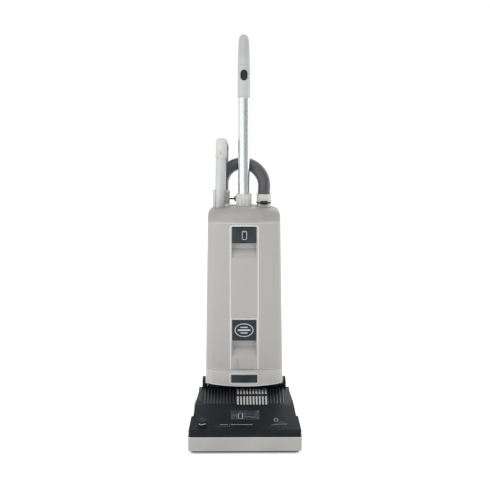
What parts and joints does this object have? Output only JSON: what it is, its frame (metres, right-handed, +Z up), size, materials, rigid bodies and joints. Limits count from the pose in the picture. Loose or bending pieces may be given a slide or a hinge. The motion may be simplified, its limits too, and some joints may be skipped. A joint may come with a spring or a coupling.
{
  "type": "upright vacuum cleaner",
  "caption": "Commercial upright vacuum cleaner with a motor-driven brush head, reclining bag body, slide-out wand with stretch hose, and a straight handle.",
  "frame": {"origin": "on the floor plane, under the middle of the machine's footprint, measured without its hose", "axes": "+Z up, -Y towards the brush head's front bumper, +X to the right as seen from the front"},
  "size_m": [0.3296, 0.4656, 1.2024],
  "materials": {
    "light_grey": "fine moulded texture, satin",
    "pale_grey": "satin moulding",
    "bumper_grey": "soft bumper moulding, matt",
    "black_shell": "fine leather grain, satin",
    "black_trim": "satin",
    "slate_plate": "satin",
    "hose_grey": "ribbed, satin",
    "rubber": "matt",
    "white_filter": "non-woven",
    "fleece": "soft fleece",
    "bristle": "tufts",
    "aluminium": "satin anodised",
    "steel": "turned"
  },
  "bodies": {
    "power_head": {"head_base": "black_shell", "sole_plate": "slate_plate", "front_bumper": "bumper_grey", "head_cover": "black_shell", "vent_filter": "white_filter", "indicator_window": "slate_plate", "cheek_left": "black_shell", "cheek_right": "black_shell", "suction_duct": "slate_plate", "brush_motor": "steel", "roller_end_carrier": "pale_grey", "roller_bearing_left": "pale_grey", "rear_axle": "steel", "drive_belt": "rubber", "pivot_pin_left": "steel", "pivot_pin_right": "steel"},
    "brush": {"brush_roller": "slate_plate", "brush_bristles": "bristle"},
    "motor_shaft": {"motor_pulley": "steel"},
    "knob": {"height_knob": "black_shell"},
    "release_button": {"roller_release_button": "pale_grey"},
    "pedal": {"foot_pedal": "black_shell"},
    "rear_wheel_l": {"rear_wheel_left": "slate_plate", "rear_tyre_left": "rubber"},
    "rear_wheel_r": {"rear_wheel_right": "slate_plate", "rear_tyre_right": "rubber"},
    "front_wheel_l": {"front_wheel_left": "pale_grey"},
    "front_wheel_r": {"front_wheel_right": "pale_grey"},
    "upright": {"neck_barrel": "black_shell", "rear_chassis": "light_grey", "back_cover": "light_grey", "lower_panel": "light_grey", "panel_window": "slate_plate", "filter_bag": "fleece", "bag_collar": "pale_grey", "pre_motor_filter": "white_filter", "suction_motor": "steel", "exhaust_filter": "white_filter", "wand_holder": "pale_grey", "hose_port": "pale_grey", "hose_cuff": "pale_grey", "hose_clip": "black_trim", "hose_arch": "hose_grey", "hose_return": "hose_grey", "handle_socket": "pale_grey", "handle_tube": "aluminium", "grip_lower": "light_grey", "grip_upper": "light_grey", "cord_gland": "black_trim", "lower_cord_hook": "black_trim", "carry_handle": "black_trim"},
    "fan": {"suction_fan": "aluminium"},
    "door": {"bag_door": "light_grey"},
    "top_latch_lever": {"top_latch": "slate_plate"},
    "lower_latch_lever": {"lower_latch": "slate_plate"},
    "wand": {"wand_tube": "pale_grey", "wand_grip": "pale_grey", "wand_hose_cuff": "black_trim"},
    "power_switch": {"switch_button": "black_trim"},
    "upper_hook": {"upper_cord_hook": "black_trim"}
  },
  "joints": [
    {"name": "recline", "type": "hinge", "parent": "power_head", "child": "upright", "pos_m": [0, 0.09123, 0.095], "axis": [-1, 0, 0], "range_deg": [0, 75]},
    {"name": "brush_spin", "type": "hinge", "parent": "power_head", "child": "brush", "pos_m": [0, -0.14078, 0.034], "axis": [1, 0, 0], "continuous": true},
    {"name": "motor_spin", "type": "hinge", "parent": "power_head", "child": "motor_shaft", "pos_m": [-0.1, -0.02877, 0.056], "axis": [1, 0, 0], "continuous": true},
    {"name": "rear_wheel_left_spin", "type": "hinge", "parent": "power_head", "child": "rear_wheel_l", "pos_m": [-0.1287, 0.09323, 0.032], "axis": [1, 0, 0], "continuous": true},
    {"name": "rear_wheel_right_spin", "type": "hinge", "parent": "power_head", "child": "rear_wheel_r", "pos_m": [0.1287, 0.09323, 0.032], "axis": [1, 0, 0], "continuous": true},
    {"name": "front_wheel_left_spin", "type": "hinge", "parent": "power_head", "child": "front_wheel_l", "pos_m": [-0.108, -0.09477, 0.011], "axis": [1, 0, 0], "continuous": true},
    {"name": "front_wheel_right_spin", "type": "hinge", "parent": "power_head", "child": "front_wheel_r", "pos_m": [0.108, -0.09477, 0.011], "axis": [1, 0, 0], "continuous": true},
    {"name": "height_adjust", "type": "hinge", "parent": "power_head", "child": "knob", "pos_m": [-0.124, -0.14577, 0.07864], "axis": [0, -0.3175, 0.9483], "range_deg": [0, 270]},
    {"name": "roller_release", "type": "slide", "parent": "power_head", "child": "release_button", "axis": [0.9966, -0.0819, 0], "range_m": [0, 0.003], "stiffness_N_per_m": 600},
    {"name": "pedal_press", "type": "hinge", "parent": "power_head", "child": "pedal", "pos_m": [-0.129, 0.12523, 0.078], "axis": [-1, 0, 0], "range_deg": [0, 10], "stiffness_Nm_per_rad": 2},
    {"name": "fan_spin", "type": "hinge", "parent": "upright", "child": "fan", "pos_m": [0.018, 0.09223, 0.24], "axis": [0, 0, 1], "continuous": true},
    {"name": "door_open", "type": "hinge", "parent": "upright", "child": "door", "pos_m": [0, 0.02823, 0.2], "axis": [1, 0, 0], "range_deg": [0, 70]},
    {"name": "top_latch_pull", "type": "hinge", "parent": "door", "child": "top_latch_lever", "pos_m": [0, 0.02573, 0.6322], "axis": [-1, 0, 0], "range_deg": [0, 18], "stiffness_Nm_per_rad": 0.15},
    {"name": "lower_latch_pull", "type": "hinge", "parent": "door", "child": "lower_latch_lever", "pos_m": [0, 0.02573, 0.3467], "axis": [-1, 0, 0], "range_deg": [0, 18], "stiffness_Nm_per_rad": 0.15},
    {"name": "wand_slide", "type": "slide", "parent": "upright", "child": "wand", "axis": [0.0337, 0, 0.9994], "range_m": [0, 0.46], "deforming": ["hose_return"]},
    {"name": "switch_press", "type": "slide", "parent": "upright", "child": "power_switch", "axis": [0, 1, 0], "range_m": [0, 0.003], "stiffness_N_per_m": 500},
    {"name": "upper_hook_turn", "type": "hinge", "parent": "upright", "child": "upper_hook", "pos_m": [-0.04, 0.13023, 0.706], "axis": [1, 0, 0], "range_deg": [0, 90]}
  ],
  "couplings": [
    {"joint": "motor_spin", "follows": "brush_spin", "ratio": 2}
  ]
}
